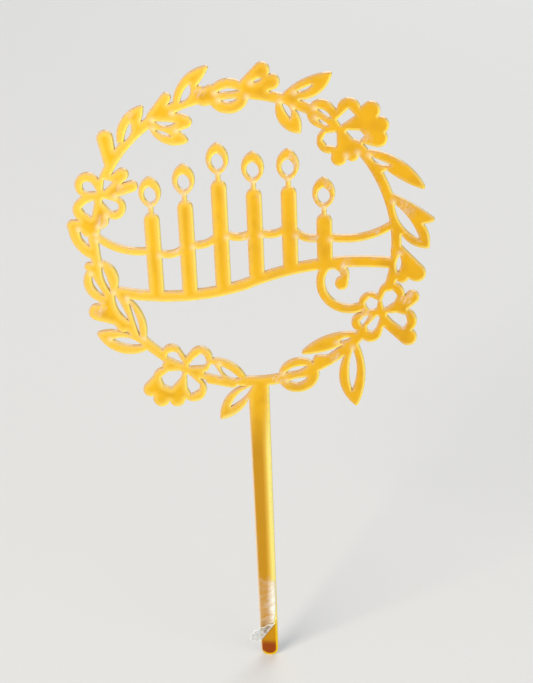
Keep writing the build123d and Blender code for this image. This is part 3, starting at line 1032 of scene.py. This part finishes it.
@dataclass
class Film:
    """The shop film on the face, cut with the sheet, and lifted and milky above its crease.

    Attributes:
        shrink: how far its edge has drawn back from the sheet's.
        clearance: distance from the crease, which leaves room for the loose end to turn.
        milky_top: height where the lifted film begins.
        milky_fade: height over which it whitens there.
        milky_depth: height over which it lifts further towards the crease.
        pulled: how far its right edge is drawn in above the crease.
        pull_reach: distance from the crease over which that fades.
        strip_start: x where the strip along the right edge begins, which is full after strip_fade.
        rim_haze: haze along the edge, over rim_width.
        streak_haze: haze of the streaks.
        patch_least: product of the waves where streaks begin, which are full after patch_fade.
        wreath_low: height where streaks begin, which are full after wreath_fade.
        pucker: how far the edge stands up, over pucker_width.
        held_width: distance from the crease over which the film is held down.
        fill_gap: least distance between the edge and the places inside it.
    """

    sheet: Sheet
    crease: Crease
    thickness: float = 0.04
    gap: float = 0.03
    shrink: float = 0.14
    clearance: float = 0.12
    milky_top: float = 30.7
    milky_fade: float = 2.4
    milky_depth: float = 12.0
    pulled: float = 0.85
    pull_reach: float = 2.0
    strip_start: float = 1.4
    strip_fade: float = 0.8
    rim_haze: float = 0.1
    rim_width: float = 0.4
    streak_haze: float = 0.22
    patch_least: float = 0.75
    patch_fade: float = 0.2
    wreath_low: float = 96.0
    wreath_fade: float = 6.0
    blister: float = 0.08
    pucker: float = 0.02
    pucker_width: float = 0.8
    held_width: float = 1.5
    fill_gap: float = 0.25
    sharp_deg: float = 60.0

    def in_strip(self, x: np.ndarray) -> np.ndarray:
        """Share of the strip along the right edge of the pick."""
        return smooth((x - self.strip_start) / self.strip_fade)

    def milky(self, places: np.ndarray) -> np.ndarray:
        """How far the film has lifted low on the pick: in a rough patch, most near the right edge.

        The patch's top is a sine. It whitens by a power of the way across the pick, in the strip along the
        right edge, which is partly lifted film and partly a painted highlight where the edge rolls over,
        and a little along its top.

        Args:
            places: x and z rows.

        Returns:
            0 for film that lies flat to 1 and more for film that is white with air.
        """
        x, z = places[:, 0], places[:, 1]
        lifted = smooth((self.milky_top - z + 0.8 * np.sin(2.1 * x)) / self.milky_fade)
        low = smooth((self.milky_top - 1.7 - z) / self.milky_depth)
        right = np.clip((x + 0.5 + 0.3 * low) / 2.2, 0, 1)
        # The strip: partly lifted film, partly a painted highlight on the rolled edge
        white = 0.03 + 0.07 * low + 0.5 * right**1.7 + 0.25 * low * self.in_strip(x)
        return lifted * (white + 0.3 * (1 - lifted))

    def haze(self, places: np.ndarray, depth: np.ndarray) -> np.ndarray:
        """How milky the film looks: along its shrunk rim, in a few streaks and where it has lifted.

        The streaks are where the product of two waves of different direction and length passes a threshold,
        on the wreath.

        Args:
            places: x and z rows.
            depth: distance inside the film's own edge.

        Returns:
            0 for clear film to 1 and more for film that is all white.
        """
        x, z = places[:, 0], places[:, 1]
        rim = self.rim_haze * (1 - smooth(depth / self.rim_width))
        patch = np.sin(0.31 * x + 0.9 * np.sin(0.12 * z)) * np.sin(0.23 * z + 1.1 * np.sin(0.17 * x) + 2.0)
        streak = 0.5 + 0.5 * np.sin(4.1 * x - 2.3 * z + 1.5 * np.sin(0.9 * z))
        strength = self.streak_haze * smooth((patch - self.patch_least) / self.patch_fade)
        lifted = strength * streak * smooth((z - self.wreath_low) / self.wreath_fade)
        return np.maximum(rim, lifted) + self.milky(places)

    def cut_line(self) -> CutLine:
        """The sheet's cut line down to the crease, with its right edge drawn in along the crease."""
        line = self.sheet.line
        line = line.kept(self.crease.beyond(line.points) < -self.clearance).refined(self.sheet.step)
        above = -self.crease.beyond(line.points)
        drawn = self.pulled * self.in_strip(line.points[:, 0]) * np.exp(-above / self.pull_reach)
        shift = drawn[:, None] * self.crease.along / self.crease.along[0]
        return CutLine(line.points - shift, line.starts)

    def build(self) -> bpy.types.Object:
        """Film surface: the fill of its own cut line, raised by its gap, puckers and blisters.

        Returns:
            The object.
        """
        line = self.cut_line()
        inside = self.sheet.inside[line.contains(self.sheet.inside)]
        inside = inside[line.nearest(inside)[0] > self.shrink + self.fill_gap]
        flat, triangles = line.filled(self.shrink, inside)
        depth, _ = line.nearest(flat)
        wave = np.sin(2.1 * flat[:, 0] + 0.7 * flat[:, 1]) * np.sin(1.3 * flat[:, 1] - 0.9 * flat[:, 0])
        held = smooth(-self.crease.beyond(flat) / self.held_width)
        blisters = self.blister * self.milky(flat) * (0.55 + 0.45 * wave)
        lift = self.pucker * (1 - smooth(depth / self.pucker_width)) + blisters
        raised = self.sheet.front_y - self.gap - held * (self.sheet.lip_height + lift)
        points = np.stack([flat[:, 0], raised, flat[:, 1]], axis=1)
        return make_piece("shop_film", points, [triangles], [0], self.sharp_deg)

    def dress(self, film: bpy.types.Object) -> None:
        """Give the film its finish, haze and thickness."""
        places = mesh_points(film.data)[:, [0, 2]]
        set_attribute(film.data, "haze", self.haze(places, rim_distance(film.data)))
        film.data.materials.append(ShopFilm().material())
        thicken(film, self.thickness, 1.0)


@dataclass
class LooseEnd:
    """The film of the pick's point, turned over at the crease, curled and crumpled.

    Attributes:
        half_width: half the pick's width at its point.
        corner: radius of the point's corners.
        pulled: how far the right end of the crease is from the edge of the pick.
        shortening: how much shorter the crumples leave it.
        past_point: distance past the crease that is off the point on every line across it.
        round_width: distance along the crease over which its right end is rounded.
        round_least: length left at that end, as a share of the point's.
        outline: haze of its rim, over outline_width, a painted white highlight.
        body_haze: haze between its folds, to which fold_haze is added in them.
        tone: colour of its thin haze, grey for painted shade in its crumples.
        graze: how far inside the point's corner the first line across the crease runs.
    """

    crease: Crease
    half_width: float
    corner: float
    pulled: float
    shortening: float = 3.6
    thickness: float = 0.05
    bend_radius: float = 0.27
    fold_deg: float = 160.0
    curl_deg_per_mm: float = 1.5
    crumple: float = 0.11
    lobe: float = 0.06
    past_point: float = 12.0
    round_width: float = 1.5
    round_least: float = 0.05
    outline: float = 1.8
    outline_width: float = 0.4
    body_haze: float = 0.2
    fold_haze: float = 0.3
    # Grey thin haze: painted shade in the crumples
    tone: str = "9CA2A5"
    graze: float = 0.005
    free_lines: int = 16
    held_lines: int = 56
    bend_columns: int = 14
    columns: int = 40
    sharp_deg: float = 70.0

    def inside_point(self, places: np.ndarray) -> np.ndarray:
        """Whether places lie on the shortened point, a bar with rounded corners at its end."""
        over = np.maximum(np.abs(places[..., 0]) - (self.half_width - self.corner), 0)
        under = np.maximum(self.corner + self.shortening - places[..., 1], 0)
        return np.hypot(over, under) <= self.corner

    def edge_distance(self, along: np.ndarray, inner: float, outer: float) -> np.ndarray:
        """Distance past the crease where lines across it meet the point's outline.

        Args:
            along: distances of the lines along the crease.
            inner: distance that lies on the point.
            outer: distance that lies off the point.

        Returns:
            One distance for each line, found by halving the span 40 times.
        """
        start = self.crease.middle + along[:, None] * self.crease.along
        low, high = np.full(len(along), inner), np.full(len(along), outer)
        for _ in range(40):
            middle = (low + high) / 2
            on_point = self.inside_point(start + middle[:, None] * self.crease.across())
            low = np.where(on_point, middle, low)
            high = np.where(on_point, high, middle)
        return low

    def placed(self, along: np.ndarray, out: np.ndarray, height: np.ndarray) -> np.ndarray:
        """Points from distances along the crease, past it and in front of the turning axis."""
        spread = along[..., None] * self.crease.along + out[..., None] * self.crease.across()
        flat = self.crease.middle + spread
        return np.stack([flat[..., 0], self.crease.axis_y - height, flat[..., 1]], axis=-1).reshape(-1, 3)

    def flap(self, along: np.ndarray, near: np.ndarray, far: np.ndarray) -> np.ndarray:
        """Part of the flap. Its direction turns back at a steady rate, so its section is an arc.

        Waves that grow with the distance from the crease crumple it.

        Args:
            along: distances along the crease.
            near: where the film begins on each line across the crease.
            far: where it ends.

        Returns:
            Points of a grid, line after line.
        """
        fold, rate = math.radians(self.fold_deg), math.radians(self.curl_deg_per_mm)
        lobed = far * (1 + self.lobe * np.sin(3.4 * along + 1.0))
        distance = near[:, None] + (lobed - near)[:, None] * np.linspace(0, 1, self.columns)
        angle = fold - rate * distance
        out = self.bend_radius * math.sin(fold) + (math.sin(fold) - np.sin(angle)) / rate
        height = -self.bend_radius * math.cos(fold) + (np.cos(angle) - math.cos(fold)) / rate
        spread = np.broadcast_to(along[:, None], distance.shape)
        waves = np.sin(1.9 * spread + 0.9 * distance) + 0.8 * np.sin(2.3 * distance - 1.2 * spread + 1.0)
        ripple = self.crumple * smooth(distance / 2.2) * waves
        return self.placed(spread, out - ripple * np.sin(angle), height + ripple * np.cos(angle))

    def build(self) -> bpy.types.Object:
        """Bend, which is a part of a tube about the crease, and the flap in a held and a free part.

        Returns:
            The object.
        """
        half = self.half_width / self.crease.along[0]
        disc = np.array([self.corner - self.half_width, self.corner + self.shortening]) - self.crease.middle
        reach = disc @ self.crease.along - self.corner
        core = float(disc @ self.crease.across())
        free = np.linspace(reach + self.graze, -half, self.free_lines)
        end = half - self.pulled / self.crease.along[0]
        held = np.linspace(-half, end, self.held_lines)
        rounding = self.round_least + (1 - self.round_least) * smooth((end - held) / self.round_width)
        turn = np.linspace(0, math.radians(self.fold_deg), self.bend_columns)
        bend_along, bend_turn = np.meshgrid(held, turn, indexing="ij")
        bend_out = self.bend_radius * np.sin(bend_turn)
        bend_height = -self.bend_radius * np.cos(bend_turn)
        free_near = self.edge_distance(free, core, 0.0)
        free_far = self.edge_distance(free, core, self.past_point)
        held_far = rounding * self.edge_distance(held, 0.0, self.past_point)
        blocks = [
            self.placed(bend_along, bend_out, bend_height),
            self.flap(free, free_near, free_far),
            self.flap(held, np.zeros(len(held)), held_far),
        ]
        starts = np.cumsum([0] + [len(block) for block in blocks])
        sizes = ((len(held), len(turn)), (len(free), self.columns), (len(held), self.columns))
        faces = [grid_quads(*size) + start for size, start in zip(sizes, starts)]
        return make_piece("loose_film_end", np.concatenate(blocks), faces, [0, 0, 0], self.sharp_deg)

    def dress(self, end: bpy.types.Object) -> None:
        """Give the loose end its finish, which is grey off the gold for painted shade in its crumples, a
        white outline that is a painted highlight, and its thickness.
        """
        points = mesh_points(end.data)
        folds = 0.5 + 0.5 * np.sin(2.4 * points[:, 0] + 1.4 * np.sin(2.0 * points[:, 2]))
        # White outline: a painted highlight along the rim
        outline = self.outline * (1 - smooth(rim_distance(end.data) / self.outline_width))
        set_attribute(end.data, "haze", np.maximum(self.body_haze + self.fold_haze * folds, outline))
        end.data.materials.append(ShopFilm("creased_polyethylene_film_blown", self.tone).material())
        thicken(end, self.thickness, 0.0)


@dataclass(frozen=True)
class Lamp:
    """Square soft light.

    Attributes:
        place: where it hangs, in metres.
        size: side in metres.
        watts: power.
        tone: sRGB colour.
    """

    name: str
    place: tuple[float, float, float]
    size: float
    watts: float
    tone: str

    def build(self, aim: Vector) -> None:
        """Hang the light so that it faces a place, in metres."""
        data = bpy.data.lights.new(self.name, "AREA")
        data.size = self.size
        data.energy = self.watts
        data.color = linear(self.tone)[:3]
        lamp = bpy.data.objects.new(self.name, data)
        lamp.location = self.place
        lamp.rotation_euler = (aim - Vector(self.place)).to_track_quat("-Z", "Y").to_euler()
        bpy.context.scene.collection.objects.link(lamp)


@dataclass
class Studio:
    """Floor, soft lights and the camera of the photograph.

    Attributes:
        focal_px: focal length in pixels of the photo.
        target: place in the middle of the picture.
        aim: place that the lights face, in metres.
    """

    azimuth_deg: float = 6.365
    elevation_deg: float = 23.7
    roll_deg: float = -2.277
    focal_px: float = 1414.271
    distance: float = 430.0
    target: tuple[float, float, float] = (2.954, 0.0, 114.774)
    sensor: float = 36.0
    clip: float = 10.0
    floor_size: float = 6000.0
    floor_points: int = 3
    sharp_deg: float = 60.0
    aim: tuple[float, float, float] = (0.0, 0.0, 0.12)
    sky: str = "F4F6FA"
    sky_strength: float = 0.6
    lamps: tuple[Lamp, ...] = (
        Lamp("key", (-1.8, -2.4, 1.41), 1.8, 108.0, "FFF8EE"),
        Lamp("fill", (2.4, -1.8, 1.26), 2.4, 27.0, "F4F7FF"),
        Lamp("rear", (0.6, 2.7, 1.86), 2.4, 36.0, "FFFFFF"),
    )

    def build_camera(self) -> None:
        """Camera: its back axis comes from azimuth and elevation, and its right and up axes are rolled."""
        angles = (self.azimuth_deg, self.elevation_deg, self.roll_deg)
        azimuth, elevation, roll = (math.radians(angle) for angle in angles)
        level = Vector((math.cos(azimuth), math.sin(azimuth), 0))
        ahead = Vector((math.sin(azimuth), -math.cos(azimuth), 0))
        back = ahead * math.cos(elevation) + Vector((0, 0, math.sin(elevation)))
        upright = back.cross(level)
        right = level * math.cos(roll) + upright * math.sin(roll)
        up = upright * math.cos(roll) - level * math.sin(roll)
        data = bpy.data.cameras.new("camera")
        data.sensor_width = self.sensor
        data.lens = self.focal_px / PHOTO_HEIGHT_PX * self.sensor
        data.clip_start = self.clip * MM
        camera = bpy.data.objects.new("camera", data)
        place = Vector(self.target) * MM + back * (self.distance * MM)
        camera.matrix_world = Matrix.Translation(place) @ Matrix((right, up, back)).transposed().to_4x4()
        bpy.context.scene.collection.objects.link(camera)
        bpy.context.scene.camera = camera

    def build(self) -> None:
        """Floor, world, lights and camera."""
        row = np.linspace(-self.floor_size / 2, self.floor_size / 2, self.floor_points)
        x, y = np.meshgrid(row, row, indexing="ij")
        points = np.stack([x.ravel(), y.ravel(), np.zeros(x.size)], axis=1)
        floor = make_piece("studio_floor", points, [grid_quads(*x.shape)], [0], self.sharp_deg)
        floor.data.materials.append(StudioPaper().material())
        world = bpy.data.worlds.new("soft_studio")
        world.use_nodes = True
        sky = world.node_tree.nodes["Background"]
        sky.inputs["Color"].default_value = linear(self.sky)
        sky.inputs["Strength"].default_value = self.sky_strength
        bpy.context.scene.world = world
        for lamp in self.lamps:
            lamp.build(Vector(self.aim))
        bpy.context.scene.view_settings.view_transform = "Standard"
        self.build_camera()


def hand_over(piece: bpy.types.Object, body: Body, slot: Slot, *nodes: str) -> None:
    """Put a piece on its body and hide the CAD nodes that it stands for.

    Args:
        piece: finished object.
        body: body that it rides on.
        slot: material slot of the record; not used.
        nodes: CAD nodes that it replaces.
    """
    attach(piece, body.value)
    if nodes:
        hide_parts(*nodes)
    LOG.info("%s: %d points, %d faces", piece.name, len(piece.data.vertices), len(piece.data.polygons))


def main() -> None:
    """Build the sheet, its film and the studio in order."""
    logging.basicConfig(level=logging.INFO, format="%(name)s: %(message)s")
    plate_low, plate_high = (np.array(corner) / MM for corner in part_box("acrylic_plate"))
    crease = Crease.of_joint("loose_end_fold")
    sheet = Sheet(front_y=float(plate_low[1]), back_y=float(plate_high[1]))
    sheet.trace(frame["nodes"]["acrylic_plate"])
    face, backing = sheet.build_face(), sheet.build_backing()
    sheet.dress(face, backing, crease)
    hand_over(face, Body.TOPPER, Slot.ACRYLIC, "acrylic_plate")
    hand_over(backing, Body.TOPPER, Slot.LACQUER)
    film = Film(sheet, crease)
    front = film.build()
    film.dress(front)
    hand_over(front, Body.FILM, Slot.FILM, "front_film")
    loose_end = LooseEnd(crease, half_width=2.8, corner=2.6, pulled=film.pulled)
    end = loose_end.build()
    loose_end.dress(end)
    hand_over(end, Body.LOOSE_END, Slot.FILM, "film_end")
    Studio().build()


if __name__ == "__main__":
    main()
